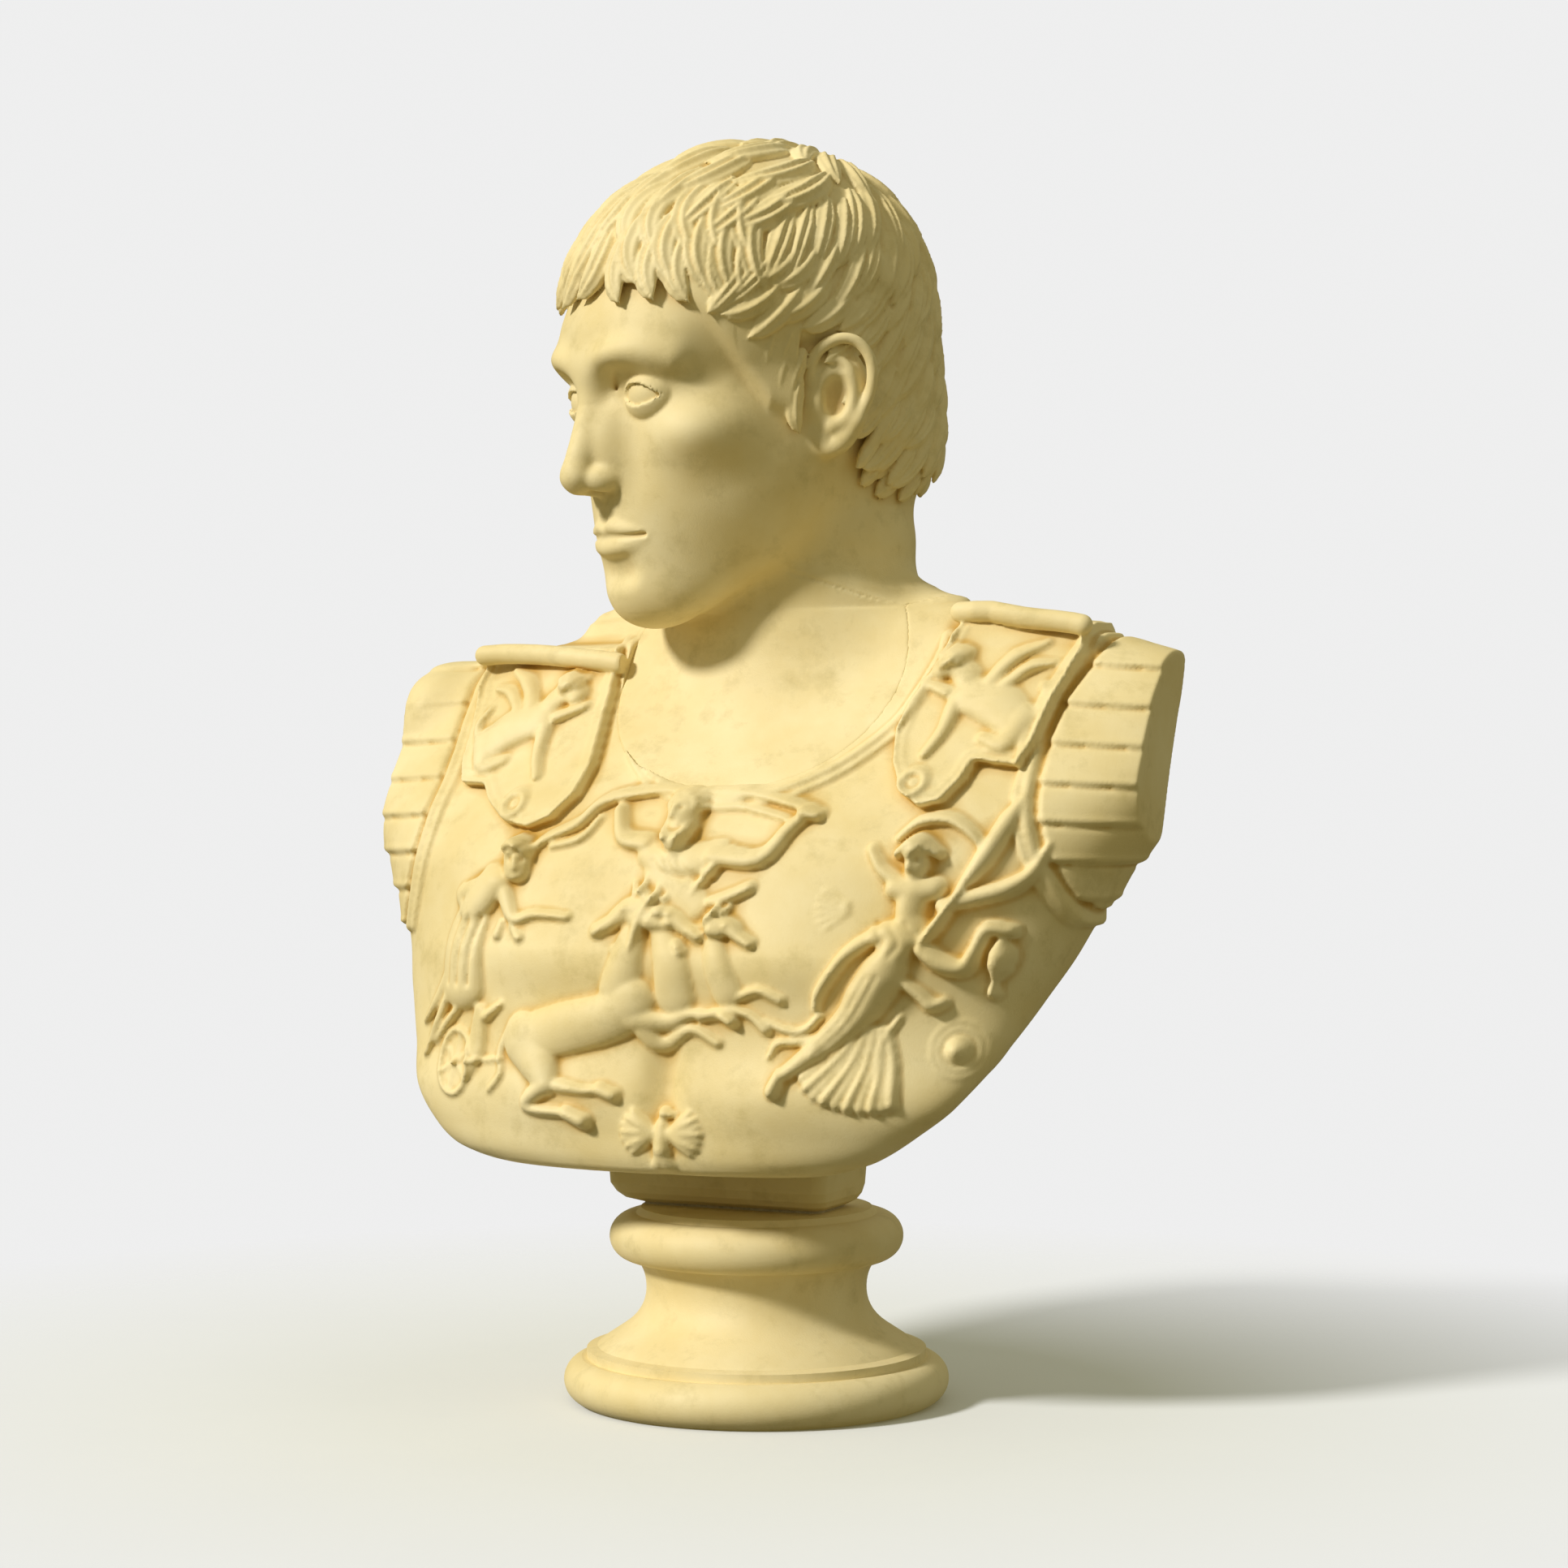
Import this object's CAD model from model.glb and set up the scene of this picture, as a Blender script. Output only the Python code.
"""Looks of the marble bust: carved head, decorated breastplate, block and turned socle.

The carving is done in clay: a regular grid holds the distance in mm from each point to the
surface, strokes are joined to it or cut from it, and its skin becomes a mesh in metres.
+X is the figure's left, the chest faces -Y, and +Z is up.
"""

import math

import bpy
import numpy as np
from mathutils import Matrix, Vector


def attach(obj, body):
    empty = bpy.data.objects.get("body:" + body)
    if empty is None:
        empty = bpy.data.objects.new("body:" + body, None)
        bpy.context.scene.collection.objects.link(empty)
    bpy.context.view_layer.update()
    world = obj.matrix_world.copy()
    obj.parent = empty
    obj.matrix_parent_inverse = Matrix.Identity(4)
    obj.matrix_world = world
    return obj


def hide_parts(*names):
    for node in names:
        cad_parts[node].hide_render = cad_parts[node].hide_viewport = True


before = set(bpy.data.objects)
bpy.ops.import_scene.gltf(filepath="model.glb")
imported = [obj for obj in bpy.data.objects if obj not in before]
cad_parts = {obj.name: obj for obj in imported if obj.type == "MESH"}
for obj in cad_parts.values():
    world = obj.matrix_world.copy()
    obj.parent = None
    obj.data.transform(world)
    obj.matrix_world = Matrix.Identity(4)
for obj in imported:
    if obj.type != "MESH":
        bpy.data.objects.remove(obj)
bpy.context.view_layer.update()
MM = 0.001

# ------------------------------------------------------------------ clay


def smooth_min(a, b, blend):
    """The union of two distances; blend is the width in mm of the fillet between them."""
    if blend <= 0:
        return np.minimum(a, b)
    mix = np.clip(0.5 + 0.5 * (b - a) / blend, 0, 1)
    return b + (a - b) * mix - blend * mix * (1 - mix)


EMPTY = 60.0          # the distance that stands for no clay


class Clay:
    """A block of clay between two corners, in mm."""

    def __init__(self, low, high, step):
        self.low = np.array(low, float)
        self.step = step
        self.count = [int(math.ceil((b - a) / step)) + 1 for a, b in zip(low, high)]
        self.d = np.full(self.count, EMPTY, np.float32)

    def window(self, low, high):
        """The part of the grid inside a box: its index, and its x, y and z as open arrays."""
        index = []
        axes = []
        for axis in range(3):
            first = max(0, int((low[axis] - self.low[axis]) / self.step) - 1)
            last = min(self.count[axis], int((high[axis] - self.low[axis]) / self.step) + 3)
            last = max(first, last)
            index.append(slice(first, last))
            shape = [1, 1, 1]
            shape[axis] = last - first
            line = self.low[axis] + self.step * np.arange(first, last)
            axes.append(line.astype(np.float32).reshape(shape))
        return tuple(index), axes

    def whole(self):
        high = self.low + self.step * np.array(self.count)
        return self.window(self.low, high)

    def add(self, index, value, blend=0.0):
        self.d[index] = smooth_min(self.d[index], value, blend)

    def cut(self, index, value, blend=0.0):
        self.d[index] = -smooth_min(-self.d[index], value, blend)

    def sample(self, field, points):
        """The value of a field on this grid at points, between its grid values."""
        place = (np.asarray(points) - self.low) / self.step
        base = np.clip(np.floor(place).astype(int), 0, np.array(self.count) - 2)
        f = np.clip(place - base, 0, 1)
        total = np.zeros(len(place))
        for corner in range(8):
            shift = np.array([corner & 1, corner >> 1 & 1, corner >> 2])
            weight = np.prod(np.where(shift, f, 1 - f), axis=1)
            i, j, k = (base + shift).T
            total += weight * field[i, j, k]
        return total

    def normal(self, points, reach=2.5):
        parts = []
        for axis in range(3):
            shift = np.zeros(3)
            shift[axis] = reach
            parts.append(self.sample(self.d, points + shift) - self.sample(self.d, points - shift))
        n = np.stack(parts, 1)
        return n / np.maximum(np.linalg.norm(n, axis=1, keepdims=True), 1e-6)

    def stick(self, points, lift=0.0):
        """Moves points to the clay's surface, or lift mm above it."""
        points = np.array(points, float)
        for _ in range(4):
            gap = self.sample(self.d, points) - lift
            points = points - self.normal(points) * gap[:, None]
        return points

    def even(self):
        """Makes the values true distances near the surface, by dividing by their slope."""
        slope = np.zeros_like(self.d)
        for axis in range(3):
            slope += np.gradient(self.d, self.step, axis=axis) ** 2
        self.d /= np.clip(np.sqrt(slope), 0.25, 4.0)


def same_grid(clay, values):
    """Another block of clay on the same grid, with its own values."""
    other = Clay(clay.low, clay.low + clay.step, clay.step)
    other.count, other.d = clay.count, values
    return other


def box_blur(field, reach):
    """The mean of a field over a cube that reaches so many grid steps each way."""
    for axis in range(3):
        first = np.repeat(np.take(field, [0], axis), reach + 1, axis)
        last = np.repeat(np.take(field, [-1], axis), reach, axis)
        padded = np.concatenate([first, field, last], axis)
        total = np.cumsum(padded, axis, dtype=np.float64)
        n = field.shape[axis]
        high = np.take(total, np.arange(2 * reach + 1, 2 * reach + 1 + n), axis)
        low = np.take(total, np.arange(n), axis)
        field = ((high - low) / (2 * reach + 1)).astype(np.float32)
    return field


def skin(clay):
    """The clay's surface as vertices in mm and four-sided faces, one vertex in each cell that it crosses."""
    d = clay.d
    d[0], d[-1] = 50, 50
    d[:, 0], d[:, -1] = 50, 50
    d[:, :, 0], d[:, :, -1] = 50, 50
    inside = d < 0
    n = [c - 1 for c in d.shape]
    full = np.zeros(n, np.int8)
    corners = [(i, j, k) for i in (0, 1) for j in (0, 1) for k in (0, 1)]
    for i, j, k in corners:
        full += inside[i:i + n[0], j:j + n[1], k:k + n[2]]
    cells = np.argwhere((full > 0) & (full < 8))
    number = np.full(n, -1, np.int32)
    number[tuple(cells.T)] = np.arange(len(cells))
    place = np.zeros((len(cells), 3))
    hits = np.zeros(len(cells))
    for axis in range(3):
        for corner in corners:
            if corner[axis]:
                continue
            far = list(corner)
            far[axis] = 1
            a = d[tuple((cells + corner).T)].astype(float)
            b = d[tuple((cells + far).T)].astype(float)
            cross = (a < 0) != (b < 0)
            t = np.where(cross, a / np.where(cross, a - b, 1), 0)
            point = np.tile(np.array(corner, float), (len(cells), 1))
            point[:, axis] = t
            place += np.where(cross[:, None], point, 0)
            hits += cross
    verts = clay.low + clay.step * (cells + place / hits[:, None])
    quads = []
    for axis in range(3):
        u, v = [other for other in range(3) if other != axis]
        near = [slice(1, -1)] * 3
        near[axis] = slice(0, -1)
        far = [slice(1, -1)] * 3
        far[axis] = slice(1, None)
        first = inside[tuple(near)]
        second = inside[tuple(far)]
        edges = np.argwhere(first != second) + [0 if a == axis else 1 for a in range(3)]
        outward = inside[tuple(edges.T)]
        ring = []
        for du, dv in ((-1, -1), (0, -1), (0, 0), (-1, 0)):
            cell = edges.copy()
            cell[:, u] += du
            cell[:, v] += dv
            ring.append(number[tuple(cell.T)])
        ring = np.stack(ring, 1)
        turn = outward if axis != 1 else ~outward
        ring[~turn] = ring[~turn][:, ::-1]
        quads.append(ring)
    return verts, np.concatenate(quads)


def crevices(clay, verts, reach_mm):
    """How deep in a hollow each vertex lies: 0 on flat forms, near 1 in folds, below 0 on proud ones."""
    reach = max(1, int(reach_mm / clay.step))
    near = np.clip(clay.d, -2 * reach_mm, 2 * reach_mm)
    depth = -clay.sample(box_blur(near, reach), verts) / reach_mm
    return depth


def make_piece(name, verts, faces, colours=None):
    """A smooth-shaded mesh piece from points in mm."""
    mesh = bpy.data.meshes.new(name)
    mesh.vertices.add(len(verts))
    mesh.vertices.foreach_set("co", (np.asarray(verts, np.float32) * MM).ravel())
    mesh.loops.add(faces.size)
    mesh.loops.foreach_set("vertex_index", faces.astype(np.int32).ravel())
    mesh.polygons.add(len(faces))
    mesh.polygons.foreach_set("loop_start", np.arange(0, faces.size, faces.shape[1], dtype=np.int32))
    mesh.update(calc_edges=True)
    mesh.polygons.foreach_set("use_smooth", np.ones(len(faces), bool))
    for key, values in (colours or {}).items():
        layer = mesh.attributes.new(key, "FLOAT", "POINT")
        layer.data.foreach_set("value", np.asarray(values, np.float32))
    mesh.validate()
    piece = bpy.data.objects.new(name, mesh)
    bpy.context.scene.collection.objects.link(piece)
    return piece


def carve_out(name, clay):
    """The clay as a finished piece, with its hollows marked for the material."""
    verts, faces = skin(clay)
    marks = {"fold": crevices(clay, verts, 3.0), "hollow": crevices(clay, verts, 9.0)}
    return make_piece(name, verts, faces, marks)


# ------------------------------------------------------------------ strokes in clay


class Pose:
    """A local frame: points in it are turned by a matrix, then moved to an origin."""

    def __init__(self, matrix=None, origin=(0, 0, 0)):
        self.matrix = np.eye(3) if matrix is None else np.array(matrix, float)
        self.origin = np.array(origin, float)

    def out(self, points):
        return np.asarray(points, float) @ self.matrix.T + self.origin

    def into(self, axes):
        """Local x, y and z of grid points given as open arrays."""
        x, y, z = [line - np.float32(o) for line, o in zip(axes, self.origin)]
        return [x * m[0] + y * m[1] + z * m[2] for m in self.matrix.T.astype(np.float32)]


def turned(about_x, about_y, about_z):
    """A rotation matrix from angles in degrees, about x first and z last."""
    a, b, c = [math.radians(v) for v in (about_x, about_y, about_z)]
    rx = np.array([[1, 0, 0], [0, math.cos(a), -math.sin(a)], [0, math.sin(a), math.cos(a)]])
    ry = np.array([[math.cos(b), 0, math.sin(b)], [0, 1, 0], [-math.sin(b), 0, math.cos(b)]])
    rz = np.array([[math.cos(c), -math.sin(c), 0], [math.sin(c), math.cos(c), 0], [0, 0, 1]])
    return rz @ ry @ rx


WORLD = Pose()


def ball(clay, pose, centre, radii, blend=0.0, tilt=(0, 0, 0), cutting=False, margin=12.0):
    """An ellipsoid joined to the clay, or cut from it."""
    own = Pose(pose.matrix @ turned(*tilt), pose.out([centre])[0])
    reach = max(radii) + max(margin, blend)
    index, axes = clay.window(own.origin - reach, own.origin + reach)
    x, y, z = own.into(axes)
    a, b, c = radii
    k = np.sqrt((x / a) ** 2 + (y / b) ** 2 + (z / c) ** 2)
    slope = np.sqrt((x / a**2) ** 2 + (y / b**2) ** 2 + (z / c**2) ** 2)
    value = k * (k - 1) / np.maximum(slope, 1e-5)
    if cutting:
        clay.cut(index, value, blend)
    else:
        clay.add(index, value, blend)


def rope(clay, pose, points, radii, blend=0.0, cutting=False, margin=8.0):
    """A tapered round bar along points, joined to the clay or cut from it."""
    points = pose.out(points)
    radii = spread(radii, len(points))
    reach = max(radii) + max(margin, blend)
    index, axes = clay.window(points.min(0) - reach, points.max(0) + reach)
    best = None
    for a, b, ra, rb in zip(points[:-1], points[1:], radii[:-1], radii[1:]):
        along = b - a
        length = max(float(along @ along), 1e-6)
        dx, dy, dz = [line - np.float32(o) for line, o in zip(axes, a)]
        t = np.clip((dx * along[0] + dy * along[1] + dz * along[2]) / length, 0, 1).astype(np.float32)
        gap = np.sqrt((dx - t * along[0]) ** 2 + (dy - t * along[1]) ** 2 + (dz - t * along[2]) ** 2)
        value = gap - (ra + (rb - ra) * t)
        best = value if best is None else np.minimum(best, value)
    if cutting:
        clay.cut(index, best, blend)
    else:
        clay.add(index, best, blend)


def spread(values, count):
    """One value, or a few along a line, made into so many evenly spaced ones."""
    values = np.atleast_1d(np.asarray(values, float))
    return np.interp(np.linspace(0, 1, count), np.linspace(0, 1, len(values)), values)


def curve(points, steps=6):
    """A smooth line through points, as more points."""
    p = np.array(points, float)
    p = np.concatenate([[2 * p[0] - p[1]], p, [2 * p[-1] - p[-2]]])
    out = []
    for i in range(1, len(p) - 2):
        for t in np.arange(steps) / steps:
            a, b, c, d = p[i - 1:i + 3]
            square = (2 * a - 5 * b + 4 * c - d) * t**2
            cube = (3 * b - a - 3 * c + d) * t**3
            out.append(0.5 * (2 * b + (c - a) * t + square + cube))
    out.append(p[-2])
    return np.array(out)


def eased(z, rows):
    """Smooth values between rows: each row is a height and then values."""
    rows = np.array(rows, float)
    z = np.clip(z, rows[0, 0], rows[-1, 0])
    step = np.diff(rows[:, 0])
    slope = np.diff(rows[:, 1:], axis=0) / step[:, None]
    tangent = np.zeros_like(rows[:, 1:])
    tangent[0], tangent[-1] = slope[0], slope[-1]
    same = slope[:-1] * slope[1:] > 0
    tangent[1:-1] = np.where(same, 2 * slope[:-1] * slope[1:] / np.where(same, slope[:-1] + slope[1:], 1), 0)
    i = np.clip(np.searchsorted(rows[:, 0], z, side="right") - 1, 0, len(step) - 1)
    h = step[i][:, None]
    t = ((z - rows[i, 0]) / step[i])[:, None]
    a, b = rows[i, 1:], rows[i + 1, 1:]
    return (
        a * (1 + 2 * t) * (1 - t) ** 2 + b * t**2 * (3 - 2 * t)
        + tangent[i] * h * t * (1 - t) ** 2 + tangent[i + 1] * h * t**2 * (t - 1)
    )


def ovals(axes, rows, tilt=0.0, above=310.0):
    """The distance to a stack of ovals, roughly; a row is height, half width, middle, half depth and x.

    A tilt lifts the +X side over the height above, by so much for each mm of x.
    """
    x, y, z = axes
    rows = [row if len(row) == 5 else (*row, 0) for row in rows]
    height = z - tilt * x * np.clip((z - above) / 90, 0, 1)
    table = eased(height.ravel(), rows).astype(np.float32)
    half, middle, depth, across = [column.reshape(height.shape) for column in table.T]
    u = (x - across) / half
    v = (y - middle) / depth
    k = np.sqrt(u**2 + v**2)
    slope = np.sqrt((u / half) ** 2 + (v / depth) ** 2)
    side = k * (k - 1) / np.maximum(slope, 1e-5)
    return np.maximum(side, np.maximum(rows[0][0] - height, height - rows[-1][0]))


# ------------------------------------------------------------------ chest

# height, half width, y of the widest line, depth in front of it, x of the middle; as in the CAD model
CHEST = [
    (140, 98, -78, 34, -20),
    (144, 114, -81, 36, -20),
    (150, 130, -82, 37, -19),
    (164, 149, -80, 39, -16),
    (180, 165, -75, 43, -12),
    (206, 180, -54, 60, -9),
    (234, 194, -27, 87, -10),
    (262, 206, -8, 106, -8),
    (303, 226, 8, 108, -8),
    (331, 244, 18, 100, -5),
    (359, 258, 28, 80, 0),
    (387, 260, 40, 66, 0),
    (408, 248, 50, 58, 0),
    (424, 208, 54, 52, 0),
    (438, 150, 54, 48, 0),
    (450, 105, 54, 44, 0),
]
SHOULDER_TILT = 0.035          # the left shoulder is carried higher than the right
UPPER_BACK = [
    (305, 70, 30, 36),
    (330, 92, 48, 48),
    (375, 118, 56, 60),
    (415, 110, 62, 58, 3),
    (440, 84, 62, 54, 7),
    (452, 68, 62, 50, 7),
]
ARM_CUT_X = 235.0
BACK_OF_WIDEST = 12.0
CHEST_FOOT = 140
RAISED_SHOULDER, RAISED_RADII = (-222, 44, 392), (26, 44, 27)
HOLLOW_AT, HOLLOW_RADII = (98, -8, 215), (68, 78, 105)          # the left hollow; the right mirrors it
BLOCK_SHIFT = -12.0
SOCKET_AT, SOCKET_TILT, SOCKET_HALF_WIDTH, SOCKET_HALF_LENGTH = (4.0, 12.0, 395.0), 32.0, 86.0, 86.0
SOCKET_DEPTH, BED = 38.0, 1.5
NECK_SEAM_Z = 452.0            # the seam round the sides and back of the neck
NECK_AT, NECK_REACH = (1.0, 54.0), 76.0
BIB_RISE = 0.8                 # how far the bare chest stands proud of the breastplate's ground
HEAD_OVERLAP = 0.8             # how far the head's stone runs past the mortar into the chest's


def socket_plug(axes, gap):
    """The oval plug under the neck, as a distance."""
    x, y, z = Pose(turned(SOCKET_TILT, 0, 0), SOCKET_AT).into(axes)
    a, b = SOCKET_HALF_WIDTH + gap, SOCKET_HALF_LENGTH + gap
    k = np.sqrt((x / a) ** 2 + (y / b) ** 2)
    wall = (k - 1) * min(a, b)
    return np.maximum(wall, -z - SOCKET_DEPTH - gap)


def neck_region(axes, gap):
    """Where the stone belongs to the head: in the oval socket, and round the neck above its seam."""
    x, y, z = axes
    higher = z - NECK_SEAM_Z
    flare = (np.hypot(x - NECK_AT[0], y - NECK_AT[1]) - NECK_REACH - 3 * higher) / 3
    return np.minimum(socket_plug(axes, gap), np.maximum(flare, -higher) - gap)


class Relief:
    """Heights in mm over the front of the chest, on a grid of x and z."""

    def __init__(self, clay):
        _, (x, _, z) = clay.whole()
        self.x, self.z = x[:, 0, 0], z[0, 0, :]
        self.h = np.zeros((len(self.x), len(self.z)), np.float32)
        self.broad = np.zeros_like(self.h)

    def window(self, low, high):
        i = slice(*np.searchsorted(self.x, [low[0], high[0]]))
        k = slice(*np.searchsorted(self.z, [low[1], high[1]]))
        return (i, k), self.x[i][:, None], self.z[k][None, :]

    def track(self, points, radii, stretch=1.0):
        """Distance to a line of points over its own radius, and that radius over the widest."""
        points = np.array(points, float)
        radii = spread(radii, len(points))
        wide = (max(radii) + 1.0) * max(stretch, 1.0)
        place, x, z = self.window(points.min(0) - wide, points.max(0) + wide)
        x = x / stretch
        points = points / np.array([stretch, 1.0])
        ratio = np.full((x.shape[0], z.shape[1]), 9.0)
        local = np.ones_like(ratio)
        for a, b, ra, rb in zip(points[:-1], points[1:], radii[:-1], radii[1:]):
            along = b - a
            length = max(along @ along, 1e-6)
            t = np.clip(((x - a[0]) * along[0] + (z - a[1]) * along[1]) / length, 0, 1)
            gap = np.hypot(x - a[0] - t * along[0], z - a[1] - t * along[1])
            radius = ra + (rb - ra) * t
            local = np.where(gap / radius < ratio, radius / max(radii), local)
            ratio = np.minimum(ratio, gap / radius)
        return place, ratio, local

    def limb(self, points, radii, rise, lift=0.0, stretch=1.0):
        """A rounded form along points that stands rise mm proud; the highest form wins."""
        place, ratio, local = self.track(points, radii, stretch)
        dome = lift + rise * local**0.6 * np.clip(1 - ratio**2, 0, 1) ** 0.6
        self.h[place] = np.where(ratio < 1, np.maximum(self.h[place], dome), self.h[place])

    def bead(self, points, radii, rise):
        """A rounded rim added on top of what is there."""
        place, ratio, _ = self.track(points, radii)
        self.h[place] += rise * np.sqrt(np.clip(1 - ratio**2, 0, 1))

    def groove(self, points, radii, depth):
        """A soft channel cut into what is there."""
        place, ratio, _ = self.track(points, radii)
        self.h[place] -= depth * np.clip(1 - ratio**2, 0, 1) ** 1.5

    def plate(self, points, rise, edge=2.0):
        """A raised flat shape inside a closed outline; returns how far in each place lies."""
        points = np.array(points, float)
        place, x, z = self.window(points.min(0) - edge, points.max(0) + edge)
        gap = np.full((x.shape[0], z.shape[1]), 1e9)
        odd = np.zeros(gap.shape, bool)
        for a, b in zip(points, np.roll(points, -1, axis=0)):
            along = b - a
            t = np.clip(((x - a[0]) * along[0] + (z - a[1]) * along[1]) / max(along @ along, 1e-6), 0, 1)
            gap = np.minimum(gap, np.hypot(x - a[0] - t * along[0], z - a[1] - t * along[1]))
            if a[1] != b[1]:
                crossing = (a[1] > z) != (b[1] > z)
                odd ^= crossing & (x < a[0] + (z - a[1]) * (b[0] - a[0]) / (b[1] - a[1]))
        inner = np.where(odd, gap, -gap)
        ramp = np.clip(inner / edge, 0, 1)
        self.h[place] += rise * ramp**2 * (3 - 2 * ramp)
        return place, inner

    def total(self):
        """The heights with their steps softened by one grid step, on the broad forms."""
        h = self.h
        for axis in range(2):
            h = (np.roll(h, 1, axis) + 2 * h + np.roll(h, -1, axis)) / 4
        return h + self.broad


def arm_line(side):
    """The armhole seam, seen from the front, as points of x and z."""
    if side < 0:
        line = [(-190, 436), (-190, 420), (-188, 395), (-185, 370)]
        line += [(-184, 345), (-186, 320), (-192, 292), (-199, 268)]
    else:
        line = [(197, 436), (192, 420), (184, 398), (181, 372)]
        line += [(182, 345), (188, 320), (198, 296), (208, 278)]
    return curve(line)


def neckline():
    """The edge of the breastplate round the neck, as points of x and z."""
    line = [(-84, 432), (-80, 418), (-72, 402), (-62, 382), (-47, 366), (-28, 355), (-6, 349), (18, 347)]
    line += [(42, 351), (66, 361), (84, 374), (97, 388), (104, 404), (110, 422), (112, 436)]
    return curve(line)


def muscles(relief):
    """Broad forms of the breastplate: two chest muscles, the hollow between them and the lower swell."""
    x, z = relief.x[:, None], relief.z[None, :]
    for side in (-1, 1):
        relief.broad += 7.0 * np.exp(-(((x - side * 78) / 58) ** 2) - ((z - 262) / 52) ** 2)
        relief.broad += 7.0 * np.exp(-(((x - side * 62) / 46) ** 2) - ((z - 186) / 24) ** 2)
    relief.broad -= 8.0 * np.exp(-((x / 10) ** 2) - ((z - 192) / 30) ** 2)


def arm_bands(relief):
    """The short overlapping lappets over each upper arm, between the armhole seam and the cut."""
    x, z = relief.x[:, None], relief.z[None, :]
    pitch, lowest = 21.5, 268
    for side in (-1, 1):
        line = arm_line(side)
        order = np.argsort(line[:, 1])
        seam = np.interp(relief.z, line[order, 1], line[order, 0])[None, :]
        beyond = side * (x - seam)
        on = np.clip((beyond - 3) / 2.5, 0, 1) * (z > lowest)
        place = (z - lowest + 0.06 * beyond) / pitch
        u = place - np.floor(place)
        pad = 2.6 * (1 - np.abs(2 * u - 1) ** 13) + 1.8 * (1 - u)
        ridge = 0.9 * np.exp(-(((u - 0.17) / 0.05) ** 2))
        relief.h += on * (pad + ridge)


def seams(relief):
    """Double rims round the armholes and the neck."""
    for side in (-1, 1):
        line = arm_line(side)
        relief.bead(line, 3.4, 4.4)
        relief.bead(line + [side * -5.5, 0], 2.6, 3.0)
        relief.groove(line + [side * 5.0, 0], 2.4, 2.6)
    rim = neckline()
    relief.plate(np.concatenate([rim, [(112, 470), (-84, 470)]]), BIB_RISE, 1.5)
    outward = (rim - np.array([10, 405])) / np.linalg.norm(rim - np.array([10, 405]), axis=1, keepdims=True)
    relief.bead(rim + outward, 3.0, 5.0)
    relief.bead(rim + 6.5 * outward, 2.4, 3.2)


def chest_clay(step):
    """The breastplate and arms, full in front and hollowed behind either side of the pier."""
    clay = Clay((-246, -142, 134), (246, 134, 466), step)
    index, axes = clay.whole()
    x, y, z = axes
    clay.d = ovals(axes, CHEST, SHOULDER_TILT).astype(np.float32)
    clay.even()
    relief = Relief(clay)
    muscles(relief)
    arm_bands(relief)
    seams(relief)
    carve_front(relief)
    clay.d -= relief.total()[:, None, :]
    strap_rolls(clay)
    ball(clay, WORLD, RAISED_SHOULDER, RAISED_RADII, 16, margin=20)
    cut_behind(clay)
    shoulders(clay)
    for side in (-1, 1):
        hollow_at = mirror_to(side, [HOLLOW_AT])[0]
        ball(clay, WORLD, hollow_at, HOLLOW_RADII, 8.0, cutting=True, margin=20)
    pier(clay)
    clay.cut(index, ARM_CUT_X - np.abs(x) + 0 * y + 0 * z, 0.6)
    clay.cut(index, (z - CHEST_FOOT) + 0 * x + 0 * y, 1.5)
    index, axes = clay.window((-110, -100, 330), (120, 134, 466))
    clay.cut(index, neck_region(axes, BED), 0.4)
    return clay


def cut_behind(clay):
    """Takes away the stone behind the chest's widest line."""
    index, (_, y, z) = clay.whole()
    widest = eased(z.ravel(), CHEST)[:, 1].reshape(1, 1, -1)
    behind = (y - widest - BACK_OF_WIDEST) * 0.75
    clay.cut(index, -behind.astype(np.float32), 3.0)


def pier(clay):
    """The pillar behind the chest that stands on the block."""
    index, axes = clay.window((-100, -90, 134), (100, 90, 345))
    x, y, z = axes
    # each row: height, half width, x of the middle, front, back
    rows = [(134, 64, BLOCK_SHIFT, -32, 32), (146, 62, BLOCK_SHIFT, -50, 32), (165, 56, -11, -72, 32)]
    rows += [(205, 39, -6, -62, 32), (260, 42, -4, -50, 42), (345, 56, 0, -30, 66)]
    half, middle, front, back = [c.reshape(1, 1, -1) for c in eased(z.ravel(), rows).T]
    u = np.abs(x - middle) - half + 8
    v = np.abs(y - (front + back) / 2) - (back - front) / 2 + 8
    post = np.hypot(np.maximum(u, 0), np.maximum(v, 0)) + np.minimum(np.maximum(u, v), 0) - 8
    clay.add(index, post.astype(np.float32), 10.0)


def shoulders(clay):
    """The upper back, and the flare where the neck grows out of it; the head's clay repeats them."""
    index, axes = clay.window((-150, -90, 300), (150, 150, 500))
    clay.add(index, ovals(axes, UPPER_BACK), 20.0)
    column = [(2, 62, 372), (0, 55, 440), (1, 56, 490), (-7, 50, 548)]
    rope(clay, WORLD, column, [74, 68, 68, 62], 26, margin=50)
    for side in (-1, 1):
        rope(clay, WORLD, [(side * 55, 56, 455), (side * 115, 44, 440)], [18, 12], 14)


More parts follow.
